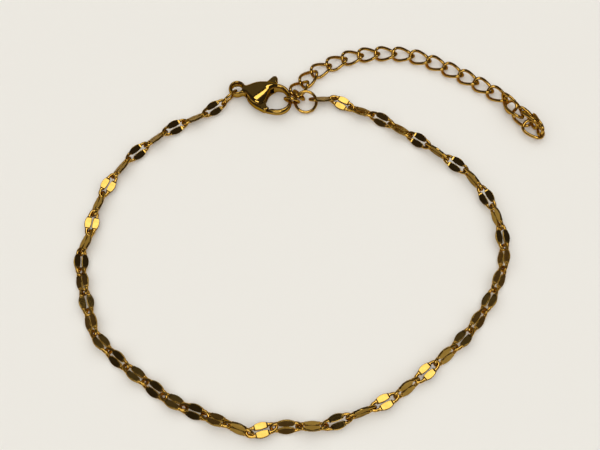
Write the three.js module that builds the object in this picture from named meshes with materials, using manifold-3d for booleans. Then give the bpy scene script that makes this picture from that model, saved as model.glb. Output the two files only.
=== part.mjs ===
// A fine gilt chain bracelet laid in a loop, fastened by a small lobster clasp, with a short
// extender chain trailing from its end ring.  Millimetres, +Z up, resting on z = 0.
//
// The main chain is an oval wire cable whose two long sides are stamped into flat mirror pads,
// with neighbouring links turned about a quarter turn.  The extender is a twisted curb chain.
import * as THREE from 'three';
import { mergeVertices } from 'three/addons/utils/BufferGeometryUtils.js';
import Module from 'manifold-3d';

const wasm = await Module();
wasm.setup();

// ---------------------------------------------------------------- driving dimensions
const LINK = {
  count: 48, length: 4.36, width: 2.16, wire: 0.4,
  padLength: 1.64, padWidth: 0.96, padEndWidth: 0.76, padThickness: 0.3, padDraft: 0.1,
  bend: 0.62,
};
const CURB = { length: 3.72, width: 2.6, wire: 0.44, twist: -42, roundness: 0.75 };
const LOOSE_CURB = { ...CURB, twist: -25 };
const EYE_LINK = { length: 3.3, width: 2.36, wire: 0.4, roundness: 0.75 };
const JUMP_RING = { outer: 2.4, wire: 0.44 };
const END_RING = { outer: 3.65, wire: 0.45 };
const SPLIT_RING = { outer: 2.6, wire: 0.45 };
const CLASP = {
  x: -9.5, y: 22.4, heading: -15, thickness: 2.3, bevel: 0.3, slot: 1.2,
  eyeOuter: 2.44, eyeWall: 0.48, eyeThickness: 1.2, eyeX: -0.06, eyeY: 0.1,
};
const LEVER = { thickness: 1, bevel: 0.12 };
const PIN = { x: 2.55, y: -0.4, diameter: 0.6, socket: 0.66, hole: 0.78, length: 1.9, sides: 12 };
const SINGLE_LINKS = 40;   // the first links are sub-parts of their own
const RUN_LENGTH = 4;      // the rest are joined in runs of this many links
const CURB_RUN_LENGTH = 3; // and so is the extender
const EYE_LIFT = 0.4;      // how much higher the chain's first joint hangs, at the clasp's eye
const SPOT = 0.14;         // half size of the spot that joins two links of one run

// Where each joint of the main chain lies, from the clasp's eye round to the end ring.
const CHAIN_JOINTS = [
  [-11.43, 20.19], [-14.37, 18.18], [-17.16, 16.76], [-20.09, 14.98], [-22.67, 12.76],
  [-25.09, 10.37], [-26.99, 7.44], [-28.36, 4.48], [-29.25, 1.38], [-29.55, -1.71],
  [-30.4, -4.66], [-30.21, -7.47], [-29.4, -10.56], [-28.5, -13.51], [-27.48, -16.45],
  [-25.27, -19.01], [-22.82, -21.11], [-20.1, -23.19], [-17.57, -25.06], [-14.91, -26.54],
  [-12.14, -27.59], [-9.28, -28.75], [-6.34, -29.92], [-3.4, -29.14], [-0.09, -29.01],
  [3.2, -28.96], [6.26, -27.89], [9.37, -26.68], [12.39, -25.11], [15.25, -22.99],
  [17.89, -20.73], [20.52, -18.55], [22.78, -16.1], [24.88, -13.31], [26.47, -10.34],
  [28.02, -7.15], [28.46, -3.9], [28.28, -0.83], [27.4, 2.4], [26, 5.43],
  [24.05, 8.29], [21.43, 10.43], [18.83, 12.58], [16.27, 14.6], [13.61, 16.31],
  [10.81, 18.01], [7.67, 19.45], [5.03, 20.96], [1.91, 20.89],
];

// How far each link is rolled about its own length, 0 lying face up, in pairs from the clasp.
// Neighbours stand between an eighth and a quarter of a turn apart.
const ROLLS = [
  { odd: -33, even: 47 }, { odd: -32, even: 49 }, { odd: -30, even: 47 }, { odd: -16, even: 44 },
  { odd: -8, even: 46 }, { odd: -23, even: 31 }, { odd: -13, even: 36 }, { odd: -30, even: 35 },
  { odd: -24, even: 29 }, { odd: -23, even: 30 }, { odd: -33, even: 60 }, { odd: 0, even: 46 },
  { odd: -42, even: 16 }, { odd: 79, even: -1 }, { odd: 56, even: 2 }, { odd: 52, even: -14 },
  { odd: 40, even: -30 }, { odd: 38, even: -49 }, { odd: 6, even: -74 }, { odd: -14, even: -87 },
  { odd: -29, even: 78 }, { odd: -31, even: 31 }, { odd: -50, even: 36 }, { odd: -11, even: 52 },
];

// Where each joint of the extender's flat part lies, from its raised links outwards.
const CURB_JOINTS = [
  [2.05, 25.85], [4.43, 27.29], [6.9, 28.55], [9.41, 29.24], [12, 29.55],
  [14.74, 29.56], [17.45, 29.15], [20.01, 28.15], [22.45, 26.85], [24.76, 25.51],
  [27, 24.05], [29.07, 22.53], [31.1, 20.95],
];

// Links and rings that do not lie flat, each with its centre, and its heading, pitch and roll
// in degrees.
const EYE_LINK_PLACE = { x: -10.7, y: 21.03, z: 1.17, heading: -132.8, pitch: -0.2, roll: 75.3 };
const SPLIT_RING_PLACE = { x: -1.24, y: 20.45, z: 1.23, heading: -15.8, pitch: 5.3, roll: -70.9 };
const END_RING_PLACE = { x: 0.87, y: 20.38, z: 0.93, heading: 2, pitch: -1.6, roll: 21.6 };
const JUMP_RING_PLACE = { x: -0.17, y: 21.54, z: 1, heading: -45.2, pitch: -9.9, roll: -52.6 };
const NEAR_END = [
  { x: -0.11, y: 22.98, z: 0.84, heading: 50.1, pitch: -4.6, roll: -5.3 },
  { x: 1.27, y: 24.94, z: 0.63, heading: 52, pitch: 0, roll: 0 },
];
const LOOSE_END = [
  { x: 31.46, y: 19.93, z: 1.29, heading: -64.4, pitch: 2.5, roll: 74.3 },
  { x: 32.3, y: 18.75, z: 1.19, heading: -58.3, pitch: -0.5, roll: -19.2 },
  { x: 33.4, y: 17.64, z: 0.98, heading: -49.1, pitch: -1, roll: 30.9 },
  { x: 34.29, y: 16.96, z: 1.38, heading: -57.6, pitch: 3.7, roll: -67.3 },
  { x: 34.77, y: 15.38, z: 0.98, heading: -34.6, pitch: -10.7, roll: 7.9 },
  { x: 35.47, y: 16.13, z: 1.29, heading: -79.8, pitch: 2, roll: 83.4 },
];

// The clasp in its own plane: X from the eye to the hook, Y towards the lever's thumb tab.
const BULB_OUTLINE = [
  [0.84, -0.5], [1.4, -0.72], [1.95, -1.22], [2.5, -1.75], [3.3, -2.15], [4.3, -2.2], [4.75, -1], [4.78, -0.4],
  [4.8, 0.5], [5.1, 1.05], [5.55, 1.4], [5.6, 2.1], [5.15, 2.3], [4.05, 2.22], [3.1, 1.97],
  [2.2, 1.57], [1.5, 1.12], [0.84, 0.8],
];
const BULB_SIDE = [
  [0.7, -0.55], [1.6, -0.95], [2.8, -1.15], [4.9, -1.15], [6.2, -0.9],
  [6.2, 0.9], [4.9, 1.15], [2.8, 1.15], [1.6, 0.95], [0.7, 0.55],
];
const HOOK = [
  { x: 4.4, y: 1.3, width: 0.9, height: 1.9 },
  { x: 5.5, y: 1.9, width: 0.95, height: 1.8 },
  { x: 6.6, y: 2, width: 0.88, height: 1.5 },
  { x: 7.5, y: 1.48, width: 0.72, height: 1.2 },
  { x: 8.2, y: 0.55, width: 0.58, height: 1.08 },
  { x: 8.42, y: -0.5, width: 0.58, height: 1.05 },
  { x: 8.25, y: -1.35, width: 0.7, height: 1.05 },
  { x: 7.75, y: -1.98, width: 0.82, height: 1.05 },
  { x: 6.9, y: -2.4, width: 0.9, height: 1 },
  { x: 5.5, y: -2.52, width: 0.78, height: 0.9 },
];
const SLOT_OUTLINE = [
  [1.55, -3.4], [4.85, -3.4], [6, -2.02], [5.4, -1.5], [5.4, 3.4], [1.55, 3.4],
];
const LEVER_OUTLINE = [
  [1.75, -1.15], [2.3, -1.7], [3.35, -2.35], [4.3, -2.6], [5.12, -2.9], [5.75, -2.15],
  [5.1, -1.9], [4.85, -1.2], [4.7, -0.6], [4.6, 0.4], [5.28, 1.9], [5.3, 2.5], [5.42, 2.75],
  [5.36, 3.2], [5.2, 3.55], [4.92, 3.72], [4.64, 3.58], [4.4, 3.1], [4.1, 2.5], [3.6, 2],
  [1.95, 0.2], [1.75, -0.5],
];

const UP = new THREE.Vector3(0, 0, 1);
const ALONG = new THREE.Vector3(1, 0, 0);
const radians = THREE.MathUtils.degToRad;

// ---------------------------------------------------------------- solids and meshes
const gold = new THREE.MeshStandardMaterial({
  name: 'gilt_steel', color: '#d8a53c', metalness: 1, roughness: 0.14, flatShading: true,
});
const goldPale = new THREE.MeshStandardMaterial({
  name: 'gilt_stamping', color: '#e3b54a', metalness: 1, roughness: 0.1, flatShading: true,
});

function solidOf(geometry) {
  const bare = geometry.clone();
  bare.deleteAttribute('normal');
  bare.deleteAttribute('uv');
  const merged = mergeVertices(bare, 1e-5);
  return new wasm.Manifold(new wasm.Mesh({
    numProp: 3,
    vertProperties: merged.getAttribute('position').array,
    triVerts: Uint32Array.from(merged.index.array),
  }));
}

function geometryOf(solid) {
  const mesh = solid.getMesh();
  const geometry = new THREE.BufferGeometry();
  geometry.setAttribute('position', new THREE.BufferAttribute(mesh.vertProperties, 3));
  geometry.setIndex(new THREE.BufferAttribute(mesh.triVerts, 1));
  return geometry;
}

// The section of a wire or a pad: six corners, flat above and below, with slim edges.
function section(halfWidth, halfThickness, edge) {
  const flat = halfWidth - edge;
  return [
    [halfWidth, 0], [flat, halfThickness], [-flat, halfThickness],
    [-halfWidth, 0], [-flat, -halfThickness], [flat, -halfThickness],
  ];
}

function wireSection(radius) {
  return section(radius, radius * Math.sin(Math.PI / 3), radius / 2);
}

// A bar swept through stations, each with a centre, an outward and a normal direction and a
// section.  A closed sweep joins its last station to its first, an open one has two end faces.
function sweep(stations, closed) {
  const sides = stations[0].section.length;
  const points = [];
  for (const { centre, outward, normal, section: corners } of stations) {
    for (const [across, up] of corners) {
      const corner = centre.clone().addScaledVector(outward, across).addScaledVector(normal, up);
      points.push(corner.x, corner.y, corner.z);
    }
  }
  const faces = [];
  const spans = closed ? stations.length : stations.length - 1;
  for (let i = 0; i < spans; i += 1) {
    const here = i * sides;
    const next = ((i + 1) % stations.length) * sides;
    for (let k = 0; k < sides; k += 1) {
      const l = (k + 1) % sides;
      faces.push(here + k, next + k, here + l, here + l, next + k, next + l);
    }
  }
  if (!closed) {
    const last = (stations.length - 1) * sides;
    for (let k = 1; k < sides - 1; k += 1) {
      faces.push(0, k, k + 1, last, last + k + 1, last + k);
    }
  }
  const geometry = new THREE.BufferGeometry();
  geometry.setAttribute('position', new THREE.Float32BufferAttribute(points, 3));
  geometry.setIndex(faces);
  return geometry;
}

// ---------------------------------------------------------------- link shapes
// A stamped link lies in its own XY plane with its length along X.
function stampedLink() {
  const radius = LINK.wire / 2;
  const tip = LINK.length / 2 - radius;
  const round = wireSection(radius);
  const padEnd = section(LINK.padEndWidth / 2, LINK.padThickness / 2, 0.08);
  const padMiddle = section(LINK.padWidth / 2, LINK.padThickness / 2, 0.08);
  const shoulder = radians(62);
  const quarter = [
    { u: tip, v: 0, turn: 0, corners: round },
    {
      u: tip - LINK.bend + LINK.bend * Math.cos(shoulder),
      v: LINK.bend * Math.sin(shoulder),
      turn: 52,
      corners: round,
    },
    {
      u: LINK.padLength / 2,
      v: LINK.width / 2 - LINK.padDraft - LINK.padEndWidth / 2,
      turn: 80,
      corners: padEnd,
    },
    { u: 0, v: LINK.width / 2 - LINK.padWidth / 2, turn: 90, corners: padMiddle },
  ];
  const [end, bend, flare, middle] = quarter;
  const loop = [
    end, bend, flare, middle,
    ...[flare, bend, end].map((s) => ({ ...s, u: -s.u, turn: 180 - s.turn })),
    ...[bend, flare, middle].map((s) => ({ ...s, u: -s.u, v: -s.v, turn: 180 + s.turn })),
    ...[flare, bend].map((s) => ({ ...s, v: -s.v, turn: -s.turn })),
  ];
  return sweep(loop.map(({ u, v, turn, corners }) => ({
    centre: new THREE.Vector3(u, v, 0),
    outward: new THREE.Vector3(Math.cos(radians(turn)), Math.sin(radians(turn)), 0),
    normal: UP,
    section: corners,
  })), true);
}

// A wire link, twisted about its length so that its two ends stand at opposite tilts.  Its
// outline is an ellipse, or squarer than one when its roundness is under 1.
function ovalLink({ length, width, wire, twist = 0, roundness = 1 }, steps) {
  const radius = wire / 2;
  const reach = length / 2 - radius;
  const half = width / 2 - radius;
  const bent = (value, power) => Math.sign(value) * Math.abs(value) ** power;
  const stations = [];
  for (let i = 0; i < steps; i += 1) {
    const [cos, sin] = [Math.cos, Math.sin].map((f) => f((2 * Math.PI * i) / steps));
    const u = reach * bent(cos, roundness);
    const tilt = radians(twist) * (u / reach);
    const turned = (x, y, z) => new THREE.Vector3(x, y, z).applyAxisAngle(ALONG, tilt);
    stations.push({
      centre: turned(u, half * bent(sin, roundness), 0),
      outward: turned(half * bent(cos, 2 - roundness), reach * bent(sin, 2 - roundness), 0).normalize(),
      normal: turned(0, 0, 1),
      section: wireSection(radius),
    });
  }
  return sweep(stations, true);
}

const roundRing = ({ outer, wire }, steps) => ovalLink({ length: outer, width: outer, wire }, steps);

// ---------------------------------------------------------------- placing
// The turn that lays a link's length along a direction and rolls it about that direction.
function frameAlong(direction, roll) {
  const along = direction.clone().normalize();
  const left = UP.clone().cross(along).normalize();
  const turn = new THREE.Matrix4().makeBasis(along, left, along.clone().cross(left));
  return turn.multiply(new THREE.Matrix4().makeRotationX(radians(roll)));
}

function placed(centre, direction, roll) {
  return frameAlong(direction, roll).setPosition(centre);
}

function headed({ x, y, z, heading, pitch, roll }) {
  const flat = Math.cos(radians(pitch));
  const direction = new THREE.Vector3(
    flat * Math.cos(radians(heading)), flat * Math.sin(radians(heading)), Math.sin(radians(pitch)),
  );
  return placed(new THREE.Vector3(x, y, z), direction, roll);
}

// Each link spans two joints, and the joints are as high as the taller of the links they join.
// The first joint may hang higher than that, from what it is fastened to.
function placesBetween(flatJoints, rollOf, heightOf, lift) {
  const count = flatJoints.length - 1;
  const joints = flatJoints.map(([x, y], i) => {
    const sides = [Math.max(i, 1), Math.min(i + 1, count)].map((number) => heightOf(rollOf(number)));
    return new THREE.Vector3(x, y, Math.max(...sides));
  });
  joints[0].z += lift;
  return joints.slice(1).map((joint, i) => {
    const direction = joint.clone().sub(joints[i]);
    const centre = joint.clone().add(joints[i]).multiplyScalar(0.5);
    return placed(centre, direction, rollOf(i + 1));
  });
}

const linkRoll = (number) => ROLLS[Math.ceil(number / 2) - 1][number % 2 ? 'odd' : 'even'];

function linkHeight(roll) {
  const turn = radians(roll);
  const flat = (LINK.wire / 2) * Math.abs(Math.cos(turn));
  return (LINK.width / 2) * Math.abs(Math.sin(turn)) + flat;
}

// ---------------------------------------------------------------- the bracelet
const laid = new THREE.Group();

function addMesh(name, geometry, material, matrix) {
  const mesh = new THREE.Mesh(geometry, material);
  mesh.name = name;
  if (matrix) {
    mesh.applyMatrix4(matrix);
  }
  laid.add(mesh);
}

// A spot of metal across the narrowest gap between two links.
function spotBetween(one, other) {
  const [first, second] = [one, other].map((geometry) => {
    const position = geometry.getAttribute('position');
    return Array.from({ length: position.count }, (_, i) => (
      new THREE.Vector3().fromBufferAttribute(position, i)));
  });
  let nearest = { gap: Infinity };
  for (const from of first) {
    for (const to of second) {
      const gap = from.distanceTo(to);
      nearest = gap < nearest.gap ? { gap, from, to } : nearest;
    }
  }
  const centre = nearest.from.clone().lerp(nearest.to, 0.5);
  const spot = new THREE.OctahedronGeometry(1).scale(nearest.gap / 2 + SPOT, SPOT, SPOT);
  return spot.applyMatrix4(placed(centre, nearest.to.clone().sub(nearest.from), 0));
}

// Links of one run, joined into one solid by a spot between each and the next.
function addRun(name, links, material) {
  const spots = links.slice(1).map((link, i) => spotBetween(links[i], link));
  addMesh(name, geometryOf(wasm.Manifold.union([...links, ...spots].map(solidOf))), material);
}

const two = (number) => String(number).padStart(2, '0');

// Main chain
const stamped = stampedLink();
const chain = placesBetween(CHAIN_JOINTS, linkRoll, linkHeight, EYE_LIFT);
chain.slice(0, SINGLE_LINKS).forEach((place, i) => {
  addMesh(`link_${two(i + 1)}`, stamped, goldPale, place);
});
for (let first = SINGLE_LINKS; first < LINK.count; first += RUN_LENGTH) {
  const last = Math.min(first + RUN_LENGTH, LINK.count);
  const links = chain.slice(first, last).map((place) => stamped.clone().applyMatrix4(place));
  addRun(`link_run_${two(first + 1)}_${two(last)}`, links, goldPale);
}

// Rings and the eye link
addMesh('eye_link', ovalLink(EYE_LINK, 12), gold, headed(EYE_LINK_PLACE));
addMesh('split_ring', roundRing(SPLIT_RING, 12), gold, headed(SPLIT_RING_PLACE));
addMesh('end_ring', roundRing(END_RING, 16), gold, headed(END_RING_PLACE));

// Extender
const curb = ovalLink(CURB, 10);
const looseCurb = ovalLink(LOOSE_CURB, 10);
curb.computeBoundingBox();
const curbHeight = -curb.boundingBox.min.z;
const flatLinks = placesBetween(CURB_JOINTS, () => 0, () => curbHeight, 0);
const extender = [
  { geometry: roundRing(JUMP_RING, 10), place: headed(JUMP_RING_PLACE) },
  ...NEAR_END.map((row) => ({ geometry: curb, place: headed(row) })),
  ...flatLinks.map((place) => ({ geometry: curb, place })),
  ...LOOSE_END.map((row) => ({ geometry: looseCurb, place: headed(row) })),
].map(({ geometry, place }) => geometry.clone().applyMatrix4(place));
for (let first = 0; first < extender.length; first += CURB_RUN_LENGTH) {
  const links = extender.slice(first, first + CURB_RUN_LENGTH);
  addRun(`extender_run_${first / CURB_RUN_LENGTH + 1}`, links, gold);
}

// Clasp: the body, its lever in the slot and the pin that the lever turns on
const outlineOf = (rows) => new THREE.Shape(rows.map(([x, y]) => new THREE.Vector2(x, y)));

function slab(rows, thickness, bevel, bevelSegments = 1) {
  return new THREE.ExtrudeGeometry(outlineOf(rows), {
    depth: thickness - 2 * bevel,
    bevelEnabled: bevel > 0,
    bevelThickness: bevel,
    bevelSize: bevel * 0.7,
    bevelOffset: -bevel * 0.7,
    bevelSegments,
  }).translate(0, 0, bevel - thickness / 2);
}

function upright(diameter, height) {
  const cylinder = new THREE.CylinderGeometry(diameter / 2, diameter / 2, height, PIN.sides);
  return cylinder.rotateX(Math.PI / 2).translate(PIN.x, PIN.y, 0);
}

function hook() {
  const around = [0, 1, 2, 3, 4, 5, 6, 7].map((k) => (k * Math.PI) / 4);
  return sweep(HOOK.map(({ x, y, width, height }, i) => {
    const before = HOOK[Math.max(i - 1, 0)];
    const after = HOOK[Math.min(i + 1, HOOK.length - 1)];
    const outward = new THREE.Vector3(after.y - before.y, before.x - after.x, 0).normalize();
    return {
      centre: new THREE.Vector3(x, y, 0),
      outward,
      normal: UP,
      section: around.map((a) => [(width / 2) * Math.cos(a), (height / 2) * Math.sin(a)]),
    };
  }), false);
}

function eye() {
  const inner = CLASP.eyeOuter / 2 - CLASP.eyeWall;
  const edge = CLASP.eyeWall * 0.28;
  const half = CLASP.eyeThickness / 2;
  const profile = [
    [inner, edge - half], [inner + edge, -half], [inner + CLASP.eyeWall - edge, -half],
    [inner + CLASP.eyeWall, edge - half], [inner + CLASP.eyeWall, half - edge],
    [inner + CLASP.eyeWall - edge, half], [inner + edge, half], [inner, half - edge],
    [inner, edge - half],
  ];
  const ring = new THREE.LatheGeometry(profile.map(([x, y]) => new THREE.Vector2(x, y)), 16);
  return ring.rotateX(Math.PI / 2).translate(CLASP.eyeX, CLASP.eyeY, 0);
}

function claspBody() {
  const side = slab(BULB_SIDE, 8, 0).rotateX(Math.PI / 2);
  const bulb = solidOf(slab(BULB_OUTLINE, CLASP.thickness, CLASP.bevel, 2)).intersect(solidOf(side));
  return wasm.Manifold.union([bulb, solidOf(eye()), solidOf(hook())])
    .subtract(solidOf(slab(SLOT_OUTLINE, CLASP.slot, 0)))
    .subtract(solidOf(upright(PIN.socket, PIN.length + 0.1)));
}

const claspPlace = headed({ ...CLASP, z: CLASP.thickness / 2, pitch: 0, roll: 0 });
addMesh('clasp_body', geometryOf(claspBody()), gold, claspPlace);
const leverSolid = solidOf(slab(LEVER_OUTLINE, LEVER.thickness, LEVER.bevel))
  .subtract(solidOf(upright(PIN.hole, CLASP.thickness)));
addMesh('clasp_lever', geometryOf(leverSolid), gold, claspPlace);
addMesh('clasp_pin', upright(PIN.diameter, PIN.length), gold, claspPlace);

// The origin is under the middle of the whole, on the surface.
const box = new THREE.Box3().setFromObject(laid, true);
const middle = box.getCenter(new THREE.Vector3());
laid.position.set(-middle.x, -middle.y, -box.min.z);

const bracelet = new THREE.Group();
bracelet.add(laid);
export default bracelet;
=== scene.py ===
# A fine gilt chain bracelet of stamped links, with a lobster clasp and a short extender chain.
import math

import bpy
from mathutils import Matrix, Vector
import numpy as np


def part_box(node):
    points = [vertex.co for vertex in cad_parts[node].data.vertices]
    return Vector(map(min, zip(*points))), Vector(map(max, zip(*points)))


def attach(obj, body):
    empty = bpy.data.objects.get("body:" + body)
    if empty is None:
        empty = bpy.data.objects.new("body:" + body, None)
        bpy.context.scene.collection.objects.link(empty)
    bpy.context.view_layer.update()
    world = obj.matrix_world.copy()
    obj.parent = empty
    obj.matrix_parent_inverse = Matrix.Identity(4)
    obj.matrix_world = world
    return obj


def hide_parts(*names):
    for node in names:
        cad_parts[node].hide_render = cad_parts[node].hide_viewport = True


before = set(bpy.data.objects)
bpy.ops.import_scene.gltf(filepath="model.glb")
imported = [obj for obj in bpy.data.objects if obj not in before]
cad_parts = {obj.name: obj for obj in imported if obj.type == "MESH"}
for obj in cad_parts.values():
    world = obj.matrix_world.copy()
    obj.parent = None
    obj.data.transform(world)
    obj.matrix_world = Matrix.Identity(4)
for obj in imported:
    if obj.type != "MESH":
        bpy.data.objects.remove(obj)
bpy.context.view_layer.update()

# Camera, floor and studio light.  The bracelet lies flat on pale paper.  Its polished metal mirrors
# a softbox and a dim panel behind it and a card in front.  Two large panels overhead light the
# paper; the metal doesn't mirror them, and only the weaker one casts shadows.
MM = 0.001  # pieces are given in mm, and lamps and paper in metres
PIVOT_ON_LAYOUT = Vector((-7.14041, 21.35364))  # the lever's pin, measured from the middle of the layout
pin_low, pin_high = (Vector(corner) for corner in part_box("clasp_pin"))
LAID = (pin_low + pin_high).xy / (2 * MM) - PIVOT_ON_LAYOUT  # where the layout's middle is in the frame
CAMERA_DISTANCE, CAMERA_ELEVATION = 128, 63.5
PAPER_HALF, PAPER_GAP = 3, 0.02 * MM  # half the sheet's side, and how far it lies under the metal

scene = bpy.context.scene
scene.view_settings.view_transform = "Standard"


def show(name, data):
    made = bpy.data.objects.new(name, data)
    scene.collection.objects.link(made)
    return made


def aim(piece, target, azimuth, elevation, distance):
    """Puts a lamp or the camera round a target and turns it to face it; azimuth 0 is the -Y side."""
    turn, rise = math.radians(azimuth), math.radians(elevation)
    back = Vector((math.sin(turn) * math.cos(rise), -math.cos(turn) * math.cos(rise), math.sin(rise)))
    piece.location = target + back * distance
    piece.rotation_euler = (-back).to_track_quat("-Z", "Y").to_euler()


middle = Vector((LAID.x, LAID.y, 0)) * MM
camera = show("camera", bpy.data.cameras.new("camera"))
camera.data.lens, camera.data.sensor_width = 54, 36
camera.data.clip_start, camera.data.clip_end = 0.005, 10
aim(camera, middle, 0, CAMERA_ELEVATION, CAMERA_DISTANCE * MM)
scene.camera = camera

for name, azimuth, elevation, distance, width, height, watts, mirrored, shadow in (
    ("softbox", 165.6, 71.5, 0.6, 0.26, 0.19, 0.59, True, False),
    ("back_panel", 180, 38, 0.8, 1.4, 0.5, 0.2, True, False),
    ("front_card", 0, 54, 0.5, 0.28, 0.17, 0.62, True, False),
    ("overhead", 0, 90, 0.8, 3, 3, 3.4, False, True),
    ("overhead_fill", 0, 90, 0.75, 3, 3, 27.8, False, False),
):
    light = bpy.data.lights.new(name, "AREA")
    light.shape, light.size, light.size_y, light.energy = "RECTANGLE", width, height, watts
    light.use_shadow = shadow
    lamp = show(name, light)
    lamp.visible_glossy, lamp.visible_diffuse = mirrored, not mirrored
    aim(lamp, middle, azimuth, elevation, distance)

scene.world = bpy.data.worlds.new("studio")
scene.world.use_nodes = True
room = scene.world.node_tree
direction = room.nodes.new("ShaderNodeTexCoord").outputs["Generated"]
upwards = room.nodes.new("ShaderNodeSeparateXYZ")
shade = room.nodes.new("ShaderNodeValToRGB")  # the room is paler low down and darker above
paler, darker = shade.color_ramp.elements
paler.position, paler.color = 0.25, (0.16, 0.135, 0.14, 1)
darker.position, darker.color = 0.4, (0.05, 0.045, 0.06, 1)
room.links.new(direction, upwards.inputs[0])
room.links.new(upwards.outputs["Z"], shade.inputs[0])
room.links.new(shade.outputs[0], room.nodes["Background"].inputs["Color"])

corners = [(x * PAPER_HALF, y * PAPER_HALF, -PAPER_GAP) for x, y in ((-1, -1), (1, -1), (1, 1), (-1, 1))]
floor_mesh = bpy.data.meshes.new("floor")
floor_mesh.from_pydata(corners, [], [(0, 1, 2, 3)])
floor = show("floor", floor_mesh)
paper = bpy.data.materials.new("pale_paper")
paper.use_nodes = True
paper.node_tree.nodes["Principled BSDF"].inputs["Base Color"].default_value = (0.862, 0.838, 0.76, 1)
paper.node_tree.nodes["Principled BSDF"].inputs["Roughness"].default_value = 0.9
floor_mesh.materials.append(paper)


# Main chain: cable links of round steel wire, thinly plated with yellow gold.  A link's two long
# sides are stamped into flat mirror pads with bevelled ends, and plain wire is left at its two eyes.
# Each link is threaded through the one before it, about a quarter turn round, and closed.
LINK = dict(length=4.36, width=2.06, wire=0.43, pad_width=0.97, pad_end=0.61, pad_thickness=0.3)
FLAT_END, RAMP_END, NECK = 0.76, 0.93, 1.05  # from a link's middle: ends of pad and bevel, start of eye
NECK_WIDTH = 1.06  # where the eye begins, between the middles of its two wires
NECK_FLARE = 1.2  # how much wider than round the wire is between the bevel and the eye
PAD_CURVE = 0.24  # how far a pad's outer edge has come in at the bevel's end
CREASE = 0.02  # more sections, this far from the bevel's edges, keep them crisp
PAD_CORNER, NECK_CORNER, WIRE_CORNER = 0.05, 0.12, 0.19
EYE_LIFT = 0.4  # how much higher the chain starts, where it hangs in the eye link

MARK_SIZE, MARK_STRETCH = 0.06, 6  # polishing marks, drawn out along X
TONE_SIZE = 0.9  # patches of a darker, redder tone

CHAIN_JOINTS = [  # where each joint lies, from the clasp round to the ring
    (-11.43, 20.19), (-14.37, 18.18), (-17.16, 16.76), (-20.09, 14.98), (-22.67, 12.76), (-25.09, 10.37),
    (-26.99, 7.44), (-28.36, 4.48), (-29.25, 1.38), (-29.55, -1.71), (-30.4, -4.66), (-30.21, -7.47),
    (-29.4, -10.56), (-28.5, -13.51), (-27.48, -16.45), (-25.27, -19.01), (-22.82, -21.11), (-20.1, -23.19),
    (-17.57, -25.06), (-14.91, -26.54), (-12.14, -27.59), (-9.28, -28.75), (-6.34, -29.92), (-3.4, -29.14),
    (-0.09, -29.01), (3.2, -28.96), (6.26, -27.89), (9.37, -26.68), (12.39, -25.11), (15.25, -22.99),
    (17.89, -20.73), (20.52, -18.55), (22.78, -16.1), (24.88, -13.31), (26.47, -10.34), (28.02, -7.15),
    (28.46, -3.9), (28.28, -0.83), (27.4, 2.4), (26, 5.43), (24.05, 8.29), (21.43, 10.43),
    (18.83, 12.58), (16.27, 14.6), (13.61, 16.31), (10.81, 18.01), (7.67, 19.45), (5.03, 20.96),
    (1.91, 20.89),
]
ROLLS = [  # degrees that each link is rolled about its own length: odd link, even link
    (-33, 41), (-32, 43), (-30, 44), (-16, 44), (-8, 40), (-23, 31), (-13, 36), (-30, 35),
    (-24, 29), (-23, 30), (-33, 66), (0, 46), (-42, 16), (79, -1), (56, 2), (52, -14),
    (40, -30), (38, -49), (6, -74), (-22, -87), (-29, 82), (-31, 31), (-50, 30), (-11, 41),
]


class Value:
    """A socket of a material's nodes; arithmetic on it adds Math nodes."""

    def __init__(self, socket):
        self.socket = socket

    def node(self, kind, settings=None, output=0, **values):
        """Adds any node to the same tree; a value or a Value goes to the input of that name or _number."""
        made = self.socket.id_data.nodes.new(kind)
        for key, setting in (settings or {}).items():
            setattr(made, key, setting)
        for key, value in values.items():
            place = made.inputs[int(key[1:]) if key[1:].isdigit() else key.replace("_", " ")]
            if isinstance(value, Value):
                self.socket.id_data.links.new(value.socket, place)
            else:
                place.default_value = value
        return Value(made.outputs[output])

    def maths(self, operation, first, second):
        return self.node("ShaderNodeMath", {"operation": operation}, _0=first, _1=second)

    def __add__(self, other):
        return self.maths("ADD", self, other)

    def __radd__(self, other):
        return self.maths("ADD", other, self)

    def __mul__(self, other):
        return self.maths("MULTIPLY", self, other)

    def __rmul__(self, other):
        return self.maths("MULTIPLY", other, self)


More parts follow.
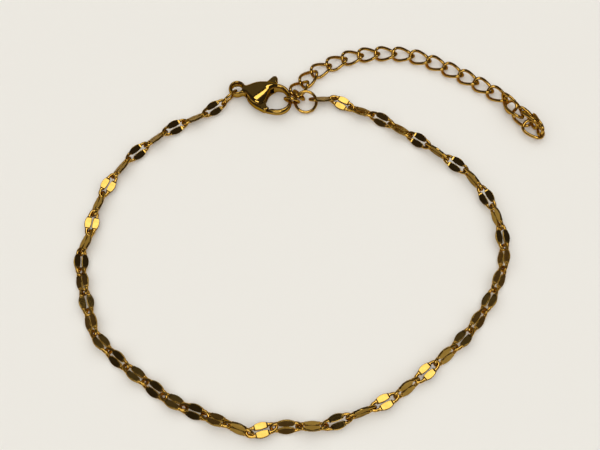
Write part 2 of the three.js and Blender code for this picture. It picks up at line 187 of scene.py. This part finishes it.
def gold_plating(name, colour, worn, edge, roughness, ripple, ripple_size, scratches):
    """Polished steel under a thin coat of gold: a mirror with faint ripples from its making, fine
    polishing marks and a worn tone in places.  The edge colour is its tint at a glancing angle;
    colours are linear, and the ripples' height and size and the scratches' depth are in mm."""
    plating = bpy.data.materials.new(name)
    plating.use_nodes = True
    nodes = plating.node_tree.nodes
    shader = nodes["Principled BSDF"]
    shader.inputs["Metallic"].default_value = 1
    shader.inputs["Specular Tint"].default_value = (*edge, 1)
    place = Value(nodes.new("ShaderNodeTexCoord").outputs["Object"])
    drawn_out = place.node(
        "ShaderNodeMapping", {"vector_type": "TEXTURE"}, Vector=place, Scale=(MARK_STRETCH, 1, 1),
    )
    waves = place.node(
        "ShaderNodeTexNoise", {}, "Fac", Vector=place, Scale=1 / (ripple_size * MM), Detail=1.0,
    )
    marks = place.node(
        "ShaderNodeTexNoise", {}, "Fac", Vector=drawn_out, Scale=1 / (MARK_SIZE * MM), Detail=2.0,
        Roughness=0.6, Distortion=0.4,
    )
    tone = place.node("ShaderNodeTexNoise", {}, "Fac", Vector=place, Scale=1 / (TONE_SIZE * MM), Detail=3.0)
    mix = place.node("ShaderNodeMix", {"data_type": "RGBA"}, 2, _0=tone, _6=(*colour, 1), _7=(*worn, 1))
    smear = roughness * 0.6 + marks * roughness * 0.8  # marks average 0.5, and this the given roughness
    relief = waves * (ripple * MM) + marks * (scratches * MM)
    bump = place.node("ShaderNodeBump", {}, 0, Strength=1.0, Distance=1.0, Height=relief)
    links = plating.node_tree.links
    links.new(mix.socket, shader.inputs["Base Color"])
    links.new(smear.socket, shader.inputs["Roughness"])
    links.new(bump.socket, shader.inputs["Normal"])
    return plating


stamped_gold = gold_plating(
    "mirror_stamped_gold", colour=(0.44, 0.285, 0.068), worn=(0.25, 0.137, 0.022), edge=(0.55, 0.51, 0.48),
    roughness=0.1, ripple=0.006, ripple_size=1.1, scratches=0.0006,
)
wire_gold = gold_plating(
    "drawn_wire_gold", colour=(0.64, 0.39, 0.08), worn=(0.52, 0.28, 0.045), edge=(0.24, 0.16, 0.06),
    roughness=0.14, ripple=0.005, ripple_size=0.7, scratches=0.0005,
)


def round_cornered(half_width, half_height, corner):
    """A bar's section of twenty points, four of which keep its top and bottom flat beside the corners."""
    wide, high = half_width - corner, half_height - corner
    inset = min(0.05, wide / 2)
    points = []
    for quarter, (x, y) in enumerate([(wide, high), (-wide, high), (-wide, -high), (wide, -high)]):
        for step in range(4):
            angle = math.radians(quarter * 90 + step * 30)
            points.append((x + corner * math.cos(angle), y + corner * math.sin(angle)))
        if quarter == 0:
            points += [(wide - inset, half_height), (inset - wide, half_height)]
        if quarter == 2:
            points += [(inset - wide, -half_height), (wide - inset, -half_height)]
    return points


def mesh_of(name, points, faces, edges=()):
    mesh = bpy.data.meshes.new(name)
    mesh.from_pydata(points, edges, faces)
    mesh.polygons.foreach_set("use_smooth", [True] * len(mesh.polygons))
    return mesh


def stamped_link():
    """One link in its own XY plane, its length along X; its faces of plain wire are marked as drawn."""
    radius = LINK["wire"] / 2
    stations = []  # from the middle of one pad to the tip: u, v, turn, half width, half height, corner
    flat = [0, 0.3, 0.56, FLAT_END - CREASE, FLAT_END]
    bevel = [FLAT_END + CREASE, 0.85, RAMP_END - CREASE, RAMP_END]
    for u in flat + bevel:
        share = (u / RAMP_END) ** 2
        width = LINK["pad_width"] + share * (LINK["pad_end"] - LINK["pad_width"])
        outer = LINK["width"] / 2 - PAD_CURVE * share
        rise = max(0, u - FLAT_END) / (RAMP_END - FLAT_END)
        height = LINK["pad_thickness"] + rise * (LINK["wire"] - LINK["pad_thickness"])
        stations.append((u, outer - width / 2, 90, width / 2, height / 2, PAD_CORNER))
    reach, side = LINK["length"] / 2 - radius - NECK, NECK_WIDTH / 2
    stations.append((RAMP_END + 0.05, side, 90, radius * NECK_FLARE, radius, NECK_CORNER))
    stations.append((NECK, side, 90, radius, radius, WIRE_CORNER))
    for angle in map(math.radians, (80, 68, 56, 44, 34, 25, 16, 8, 0)):  # the eye, a long half oval
        u, v = reach * math.cos(angle), side * math.sin(angle)
        turn = math.degrees(math.atan2(reach * v / side, side * u / reach))
        stations.append((NECK + u, v, turn, radius, radius, WIRE_CORNER))

    quarter = stations[::-1]
    loop = quarter[:]
    loop += [(-u, v, 180 - turn, *size) for u, v, turn, *size in quarter[-2::-1]]
    loop += [(-u, -v, 180 + turn, *size) for u, v, turn, *size in quarter[1:]]
    loop += [(u, -v, -turn, *size) for u, v, turn, *size in quarter[-2:0:-1]]
    points = []
    for u, v, turn, *size in loop:
        cos, sin = math.cos(math.radians(turn)), math.sin(math.radians(turn))
        points += [(u + across * cos, v + across * sin, up) for across, up in round_cornered(*size)]
    sides = len(points) // len(loop)
    faces, drawn = [], []
    for here in range(len(loop)):
        there = (here + 1) % len(loop)
        for near in range(sides):
            far = (near + 1) % sides
            corners = (here, near), (there, near), (there, far), (here, far)
            faces.append([station * sides + point for station, point in corners])
            drawn.append(min(abs(loop[here][0]), abs(loop[there][0])) > RAMP_END - CREASE / 2)
    link = show("stamping", mesh_of("stamping", points, faces))
    link.data.attributes.new("drawn", "BOOLEAN", "FACE").data.foreach_set("value", drawn)
    return link


def turned(direction, roll):
    """The turn that lays a link's length along a direction and rolls it about that direction."""
    along = direction.normalized()
    left = Vector((0, 0, 1)).cross(along).normalized()
    basis = Matrix((along, left, along.cross(left))).transposed()
    return basis @ Matrix.Rotation(math.radians(roll), 3, "X")


def between(joints, rolls, height_of, lift=0.0):
    """The places of links that span two joints each.  A joint is as high as the taller of its links,
    and the first is lifted further."""
    raised = []
    for i, (x, y) in enumerate(joints):
        sides = rolls[max(i - 1, 0)], rolls[min(i, len(rolls) - 1)]
        raised.append(Vector((x, y, max(height_of(roll) for roll in sides) + (lift if i == 0 else 0))))
    return [
        ((start + end) / 2, turned(end - start, roll))
        for start, end, roll in zip(raised, raised[1:], rolls)
    ]


def link_height(roll):
    """How high the middle of a rolled link is when its lower side touches the surface."""
    lean = abs(math.sin(math.radians(roll))), abs(math.cos(math.radians(roll)))
    return LINK["width"] / 2 * lean[0] + LINK["wire"] / 2 * lean[1]


def strung(name, places, tree, **inputs):
    """Strings a link on its places (mm, on the layout) with a geometry tree; gives a plain mesh in
    metres."""
    mesh = mesh_of(name, [centre for centre, _ in places], [])
    turns = mesh.attributes.new("turn", "FLOAT_VECTOR", "POINT")
    turns.data.foreach_set("vector", [angle for _, turn in places for angle in turn.to_euler()])
    points = show(name + "_points", mesh)
    modifier = points.modifiers.new("string", "NODES")
    modifier.node_group = tree
    sockets = {item.name: item.identifier for item in tree.interface.items_tree if item.in_out == "INPUT"}
    for key, value in inputs.items():
        modifier[sockets[key.replace("_", " ")]] = value
    solid = bpy.data.meshes.new_from_object(points.evaluated_get(bpy.context.evaluated_depsgraph_get()))
    bpy.data.objects.remove(points)
    solid.transform(Matrix.Scale(MM, 4) @ Matrix.Translation((LAID.x, LAID.y, 0)))
    return show(name, solid)


def geometry_tree(name, inputs):
    """A tree that takes points and the named inputs; gives a maker of its nodes and its inputs too."""
    tree = bpy.data.node_groups.new(name, "GeometryNodeTree")
    tree.interface.new_socket("Points", in_out="INPUT", socket_type="NodeSocketGeometry")
    for key, kind in inputs.items():
        tree.interface.new_socket(key, in_out="INPUT", socket_type=kind)
    tree.interface.new_socket("Pieces", in_out="OUTPUT", socket_type="NodeSocketGeometry")

    def add(kind, settings=None, **values):
        made = tree.nodes.new(kind)
        for key, setting in (settings or {}).items():
            setattr(made, key, setting)
        for key, value in values.items():
            place = made.inputs[int(key[1:]) if key[1:].isdigit() else key.replace("_", " ")]
            if isinstance(value, bpy.types.NodeSocket):
                tree.links.new(value, place)
            else:
                place.default_value = value
        return made

    return tree, add, add("NodeGroupInput").outputs


def finish_tree(add, given, piece, **second):
    """Sets a piece on every point, turned by the point's own turn, as plain geometry in one material,
    or in a second one on the faces that an attribute of the piece names."""
    turn = add("GeometryNodeInputNamedAttribute", {"data_type": "FLOAT_VECTOR"}, Name="turn").outputs[0]
    rotation = add("FunctionNodeEulerToRotation", Euler=turn).outputs[0]
    placed = add("GeometryNodeInstanceOnPoints", Points=given["Points"], Instance=piece, Rotation=rotation)
    real = add("GeometryNodeRealizeInstances", Geometry=placed.outputs[0])
    named = add("GeometryNodeSetMaterial", Geometry=real.outputs[0], Material=given["Material"])
    for part, material in second.items():
        chosen = add("GeometryNodeInputNamedAttribute", {"data_type": "BOOLEAN"}, Name=part).outputs[0]
        named = add(
            "GeometryNodeSetMaterial", Geometry=named.outputs[0], Selection=chosen, Material=material,
        )
    add("NodeGroupOutput", Pieces=named.outputs[0])


link_tree, add, given = geometry_tree("string_of_links", {
    "Link": "NodeSocketObject", "Material": "NodeSocketMaterial", "Drawn material": "NodeSocketMaterial",
})
shape = add("GeometryNodeObjectInfo", Object=given["Link"])
finish_tree(add, given, shape.outputs["Geometry"], drawn=given["Drawn material"])

stamping = stamped_link()
link_rolls = [roll for pair in ROLLS for roll in pair]
chain = strung(
    "stamped_chain", between(CHAIN_JOINTS, link_rolls, link_height, EYE_LIFT), link_tree,
    Link=stamping, Material=stamped_gold, Drawn_material=wire_gold,
)
bpy.data.objects.remove(stamping)
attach(chain, "bracelet")
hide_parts(*[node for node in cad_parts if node.startswith("link_")])


# Extender: a curb chain of round gilt wire, every link twisted so that it lies nearly flat.  It is
# hung from the end ring by a small jump ring, and its last six links are left loose in a bunch.
CURB = dict(length=3.72, width=2.6, wire=0.47, roundness=0.75)
TWIST, LOOSE_TWIST = -42, -25  # degrees from the middle of a link to its tip
WIRE_SIDES = 14
CURB_JOINTS = [  # where each joint of its flat part lies
    (2.05, 25.85), (4.43, 27.29), (6.9, 28.55), (9.41, 29.24), (12, 29.55), (14.74, 29.56),
    (17.45, 29.15), (20.01, 28.15), (22.45, 26.85), (24.76, 25.51), (27, 24.05), (29.07, 22.53),
    (31.1, 20.95),
]
NEAR_END = [  # x, y, z, heading, pitch, roll of the two links by the jump ring
    (-0.11, 22.98, 0.84, 50.1, -4.6, -5.3), (1.27, 24.94, 0.63, 52, 0, 0),
]
LOOSE_END = [  # the same of the loose links
    (31.46, 19.93, 1.29, -64.4, 2.5, 74.3), (32.3, 18.75, 1.19, -58.3, -0.5, -19.2),
    (33.4, 17.64, 0.98, -49.1, -1, 30.9), (34.29, 16.96, 1.38, -57.6, 3.7, -67.3),
    (34.77, 15.38, 0.98, -34.6, -10.7, 7.9), (35.47, 16.13, 1.29, -79.8, 2, 101),
]
JUMP_RING, JUMP_RING_PLACE = dict(length=2.4, width=2.4, wire=0.44), (-0.17, 21.54, 1, -45.2, -9.9, -52.6)


def oval(length, width, wire, roundness=1.0, twist=0.0, steps=40):
    """The centre line of a wire link in its own plane, twisted about its length, as the points, faces
    and edges of a closed loop.  A roundness of 1 gives an ellipse, and less a squarer link."""
    points = []
    for i in range(steps):
        angle = 2 * math.pi * i / steps
        u, v = (math.copysign(abs(f(angle)) ** roundness, f(angle)) for f in (math.cos, math.sin))
        lean = math.radians(twist) * u
        v *= width / 2 - wire / 2
        points.append((u * (length / 2 - wire / 2), v * math.cos(lean), v * math.sin(lean)))
    return points, [], [(i, (i + 1) % steps) for i in range(steps)]


def headed(x, y, z, heading, pitch, roll):
    """A centre, and a turn from a heading about Z, a pitch and a roll, in degrees."""
    turn, rise = math.radians(heading), math.radians(pitch)
    direction = Vector((math.cos(rise) * math.cos(turn), math.cos(rise) * math.sin(turn), math.sin(rise)))
    return Vector((x, y, z)), turned(direction, roll)


wire_tree, add, given = geometry_tree("string_of_wire_links", {
    "Centre line": "NodeSocketObject", "Wire": "NodeSocketFloat", "Sides": "NodeSocketInt",
    "Material": "NodeSocketMaterial",
})
line = add("GeometryNodeObjectInfo", Object=given["Centre line"])
line = add("GeometryNodeMeshToCurve", Mesh=line.outputs["Geometry"])
radius = add("ShaderNodeMath", {"operation": "MULTIPLY"}, _0=given["Wire"], _1=0.5)
profile = add("GeometryNodeCurvePrimitiveCircle", Resolution=given["Sides"], Radius=radius.outputs[0])
tube = add("GeometryNodeCurveToMesh", Curve=line.outputs[0], Profile_Curve=profile.outputs[0])
smooth = add("GeometryNodeSetShadeSmooth", Geometry=tube.outputs[0])
finish_tree(add, given, smooth.outputs[0])


def wire_pieces(name, places, size, twist=0.0, steps=40):
    path = show(name + "_path", mesh_of(name, *oval(**size, twist=twist, steps=steps)))
    made = strung(
        name, places, wire_tree,
        Centre_line=path, Wire=size["wire"], Sides=WIRE_SIDES, Material=wire_gold,
    )
    bpy.data.objects.remove(path)
    return made


lowest = min(z for _, _, z in oval(**CURB, twist=TWIST)[0])
flat_rolls = [0] * (len(CURB_JOINTS) - 1)
flat_places = between(CURB_JOINTS, flat_rolls, lambda roll: CURB["wire"] / 2 - lowest)
parts = [
    wire_pieces("curb_links", [headed(*row) for row in NEAR_END] + flat_places, CURB, TWIST),
    wire_pieces("loose_curb_links", [headed(*row) for row in LOOSE_END], CURB, LOOSE_TWIST),
    wire_pieces("jump_ring", [headed(*JUMP_RING_PLACE)], JUMP_RING),
]
for part in parts:
    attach(part, "bracelet")
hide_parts(*[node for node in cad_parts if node.startswith("extender_")])


# Rings: the oval link in the clasp's eye, the small ring that the clasp's hook closes on, and the
# larger ring that the main chain and the extender end in.  Each is round gilt wire, bent shut.
EYE_LINK = dict(length=3.3, width=2.36, wire=0.4, roundness=0.75)
SPLIT_RING = dict(length=2.6, width=2.6, wire=0.45)
END_RING = dict(length=3.65, width=3.65, wire=0.45)

for name, size, place in (
    ("eye_link", EYE_LINK, (-10.7, 21.03, 1.17, -132.8, -0.2, 75.3)),
    ("split_ring", SPLIT_RING, (-1.24, 20.45, 1.23, -15.8, 5.3, -70.9)),
    ("end_ring", END_RING, (0.87, 20.38, 0.93, 2, -1.6, 21.6)),
):
    ring = wire_pieces(name + "_wire", [headed(*place)], size, steps=64)
    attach(ring, "bracelet")
    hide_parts(name)


# Clasp body: cast in one piece, with an eye, a domed bulb that is slotted for the lever, and a hook
# that tapers and runs round to the lever's tip.  It is tumbled before plating, so that every edge is
# worn round, with small fillets at the joins.
CLASP_PLACE = dict(x=-9.5, y=22.4, z=1.15, heading=-15, pitch=0, roll=0)
EYE_CENTRE, EYE_RADIUS, EYE_WALL, EYE_THICKNESS = (-0.08, 0.1), 1.02, 0.58, 1.3
BULB_OUTLINE = [  # X from the eye to the hook, Y towards the lever's thumb tab
    (0.84, -0.5), (1.4, -0.72), (1.95, -1.22), (2.5, -1.75), (3.3, -2.15), (4.3, -2.2), (4.75, -1),
    (4.78, -0.4), (4.8, 0.5), (5.1, 1.05), (5.55, 1.4), (5.6, 2.1), (5.15, 2.3), (4.05, 2.22), (3.1, 1.97),
    (2.2, 1.57), (1.5, 1.12), (0.84, 0.8),
]
BULB_HALF = [(0.7, 0.55), (1.6, 0.95), (2.8, 1.15), (4.9, 1.15), (6.2, 0.9)]  # x, half thickness
BULB_BLEND = 0.6  # half the length over which those half thicknesses are averaged
CROWN, CROWN_MIDDLE, CROWN_HALF = 0.03, 0.05, 2.2  # how much thinner it is at its sides, across Y
FACE_START, FACE_WAY, FACE_FALL = (3.27, -0.6), (0.87, -0.5), 0.18  # where and how its face falls away
BULB_ROUNDING, OPENING_FILLET, OPENING_SPARE = 0.6, 0.2, 1.4
HOOK = [  # x, y, width, height
    (4.4, 1.3, 0.9, 1.9), (5.5, 1.9, 0.95, 1.8), (6.6, 2, 0.88, 1.5), (7.5, 1.48, 0.72, 1.2),
    (8.2, 0.55, 0.58, 1.08), (8.42, -0.5, 0.58, 1.05), (8.25, -1.35, 0.7, 1.05), (7.75, -1.98, 0.82, 1.05),
    (6.9, -2.4, 0.9, 1), (5.5, -2.52, 0.78, 0.9),
]
HOOK_FILLET, EYE_FILLET = 0.3, 0.4
SLOT_OUTLINE = [(1.55, -3.4), (4.85, -3.4), (6, -2.02), (5.4, -1.5), (5.4, 3.4), (1.55, 3.4)]
SLOT, SLOT_ROUNDING, SLOT_FILLET = 1.2, 0.05, 0.06
PIN_PLACE, PIN_LENGTH = (2.55, -0.4), 1.9
SOCKET, SOCKET_SPARE, SOCKET_FILLET = 0.66, 0.05, 0.02
LOW, HIGH, STEP = (-1.4, -3.2, -1.3), (9.1, 4.1, 1.35), 0.05  # the grid that the clasp is worked out on

cast_gold = gold_plating(
    "tumbled_cast_gold", colour=(0.43, 0.265, 0.056), worn=(0.38, 0.215, 0.038), edge=(0.4, 0.27, 0.09),
    roughness=0.09, ripple=0.012, ripple_size=1.6, scratches=0.0004,
)


def rounded(rows, times, closed=True):
    """Cuts a line's corners again and again, so that it becomes a smooth curve."""
    points = np.array(rows, float)
    for _ in range(times):
        starts, ends = (points, np.roll(points, -1, axis=0)) if closed else (points[:-1], points[1:])
        cut = np.stack([starts * 0.75 + ends * 0.25, starts * 0.25 + ends * 0.75], axis=1)
        cut = cut.reshape(-1, points.shape[1])
        points = cut if closed else np.vstack([points[:1], cut, points[-1:]])
    return points


def from_line(x, y, start, end):
    """How far each point of the plane is from a stretch of line, and how far along it."""
    (ax, ay), (bx, by) = start[:2], end[:2]
    share = ((x - ax) * (bx - ax) + (y - ay) * (by - ay)) / ((bx - ax) ** 2 + (by - ay) ** 2)
    share = np.clip(share, 0, 1)
    return np.hypot(x - ax - share * (bx - ax), y - ay - share * (by - ay)), share


def from_outline(x, y, outline):
    """How far each point of the plane is from a closed outline, negative inside it."""
    plane = np.broadcast_shapes(x.shape, y.shape)
    nearest, inside = np.full(plane, np.inf), np.zeros(plane, bool)
    for start, end in zip(outline, np.roll(outline, -1, axis=0)):
        nearest = np.minimum(nearest, from_line(x, y, start, end)[0])
        if start[1] != end[1]:
            lean = (end[0] - start[0]) / (end[1] - start[1])
            inside ^= ((start[1] > y) != (end[1] > y)) & (x < start[0] + (y - start[1]) * lean)
    return np.where(inside, -nearest, nearest)


def plate(across, z, half, rounding):
    """The depth field of a plate with rounded edges: negative inside, zero on its skin."""
    out, up = across + rounding, abs(z) - half + rounding
    return np.minimum(np.maximum(out, up), 0) + np.hypot(np.maximum(out, 0), np.maximum(up, 0)) - rounding


def oval_bar(away, z, width, height):
    """The depth field of a bar of oval section whose middle line is so far away in the plane."""
    return (np.hypot(2 * away / width, 2 * z / height) - 1) * width / 2


def joined(one, other, fillet):
    """Two depth fields in one, with a fillet where they meet."""
    share = np.clip(0.5 + 0.5 * (other - one) / fillet, 0, 1)
    return other + (one - other) * share - fillet * share * (1 - share)


def less(one, other, fillet):
    """What is left of one depth field where another is cut out of it."""
    return -joined(-one, other, fillet)


def skin(depth, low, step):
    """A closed mesh where the depth field changes sign, with one vertex in each cell that it crosses."""
    cells = [count - 1 for count in depth.shape]
    sums, crossings, edges = np.zeros((3, *cells)), np.zeros(cells), []
    for axis in range(3):
        order = [axis, (axis + 1) % 3, (axis + 2) % 3]
        field = depth.transpose(order)
        crossed = (field[:-1] < 0) != (field[1:] < 0)
        share = np.where(crossed, field[:-1] / np.where(crossed, field[:-1] - field[1:], 1), 0)
        for j in (0, 1):
            for k in (0, 1):
                near = (slice(None), slice(j, j + cells[order[1]]), slice(k, k + cells[order[2]]))
                crossings.transpose(order)[:] += crossed[near]
                for way, offset in zip(order, (share[near], j * crossed[near], k * crossed[near])):
                    sums[way].transpose(order)[:] += offset
        edges.append((order, np.argwhere(crossed), field[:-1][crossed] < 0))
    full = crossings > 0
    number = np.cumsum(full.ravel()).reshape(cells) - 1
    points = np.argwhere(full) + (sums[:, full] / crossings[full]).T
    faces = []
    for order, at, outwards in edges:
        cell = number.transpose(order)
        i, j, k = at.T
        quads = np.stack([cell[i, j - 1, k - 1], cell[i, j, k - 1], cell[i, j, k], cell[i, j - 1, k]], 1)
        faces.append(np.where(outwards[:, None], quads, quads[:, ::-1]))
    return (points * step + low).tolist(), np.concatenate(faces).tolist()


def cast(name, depth):
    """A solid of the clasp from its depth field, in its place in metres."""
    mesh = mesh_of(name, *skin(depth, np.array(LOW), STEP))
    centre, turn = headed(**CLASP_PLACE)
    place = Matrix.Translation((LAID.x, LAID.y, 0)) @ Matrix.Translation(centre) @ turn.to_4x4()
    mesh.transform(Matrix.Scale(MM, 4) @ place)
    mesh.materials.append(cast_gold)
    return show(name, mesh)


x, y, z = np.ix_(*(np.arange(start, end, STEP) for start, end in zip(LOW, HIGH)))
from_pin = np.hypot(x - PIN_PLACE[0], y - PIN_PLACE[1])

# The bulb's edge is rounded on an outline that passes over the opening, and then cut off at it.
shifts = np.linspace(-BULB_BLEND, BULB_BLEND, 13)
half = np.mean([np.interp(x + shift, *zip(*BULB_HALF)) for shift in shifts], axis=0)
lean = FACE_WAY[0] * (x - FACE_START[0]) + FACE_WAY[1] * (y - FACE_START[1])
half = half - CROWN * ((y - CROWN_MIDDLE) / CROWN_HALF) ** 2 - FACE_FALL * np.maximum(lean, 0) ** 2
past_opening = [(px + OPENING_SPARE * (px > 4.5 and py < 2.1), py) for px, py in BULB_OUTLINE]
bulb = plate(from_outline(x, y, rounded(past_opening, 3)), z, half, BULB_ROUNDING)
bulb = less(bulb, -from_outline(x, y, rounded(BULB_OUTLINE, 2)), OPENING_FILLET)

hook = np.full(np.broadcast_shapes(x.shape, y.shape, z.shape), np.inf)
hook_line = rounded(HOOK, 3, closed=False)
for start, end in zip(hook_line, hook_line[1:]):
    away, share = from_line(x, y, start, end)
    width, height = (start[i] + share * (end[i] - start[i]) for i in (2, 3))
    hook = np.minimum(hook, oval_bar(away, z, width, height))

from_eye = np.hypot(x - EYE_CENTRE[0], y - EYE_CENTRE[1])
eye = oval_bar(from_eye - EYE_RADIUS, z, EYE_WALL, EYE_THICKNESS)
body = joined(joined(bulb, hook, HOOK_FILLET), eye, EYE_FILLET)
body = less(body, plate(from_outline(x, y, SLOT_OUTLINE), z, SLOT / 2, SLOT_ROUNDING), SLOT_FILLET)
socket = np.maximum(from_pin - SOCKET / 2, abs(z) - PIN_LENGTH / 2 - SOCKET_SPARE)
body = cast("clasp_body_cast", less(body, socket, SOCKET_FILLET))
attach(body, "bracelet")
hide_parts("clasp_body")


# Clasp lever: the gate that closes the hook, cast in one flat piece with its thumb tab and tumbled.
# It fits the body's slot with a little air on both sides, and turns on the pin against a spring.
LEVER_OUTLINE = [
    (1.75, -1.15), (2.3, -1.7), (3.35, -2.35), (4.3, -2.6), (5.12, -2.9), (5.75, -2.15), (5.1, -1.9),
    (4.85, -1.2), (4.7, -0.6), (4.6, 0.4), (5.28, 1.9), (5.34, 2.5), (5.52, 2.75), (5.48, 3.25),
    (5.28, 3.62), (4.94, 3.76), (4.6, 3.6), (4.34, 3.1), (4.02, 2.5), (3.6, 2), (1.95, 0.2), (1.75, -0.5),
]
LEVER_THICKNESS, LEVER_ROUNDING, PIN_HOLE = 1.0, 0.22, 0.78

lever = plate(from_outline(x, y, rounded(LEVER_OUTLINE, 2)), z, LEVER_THICKNESS / 2, LEVER_ROUNDING)
lever = cast("clasp_lever_cast", np.maximum(lever, PIN_HOLE / 2 - from_pin))
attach(lever, "lever")
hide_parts("clasp_lever")


# Clasp pin: a short steel rod that the lever turns on, pressed into sockets on both sides of the
# body's slot before plating.
PIN_AIR, PIN_ROUNDING = 0.03, 0.06

pin = cast("clasp_pin_cast", plate(from_pin - SOCKET / 2 + PIN_AIR, z, PIN_LENGTH / 2, PIN_ROUNDING))
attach(pin, "bracelet")
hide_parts("clasp_pin")
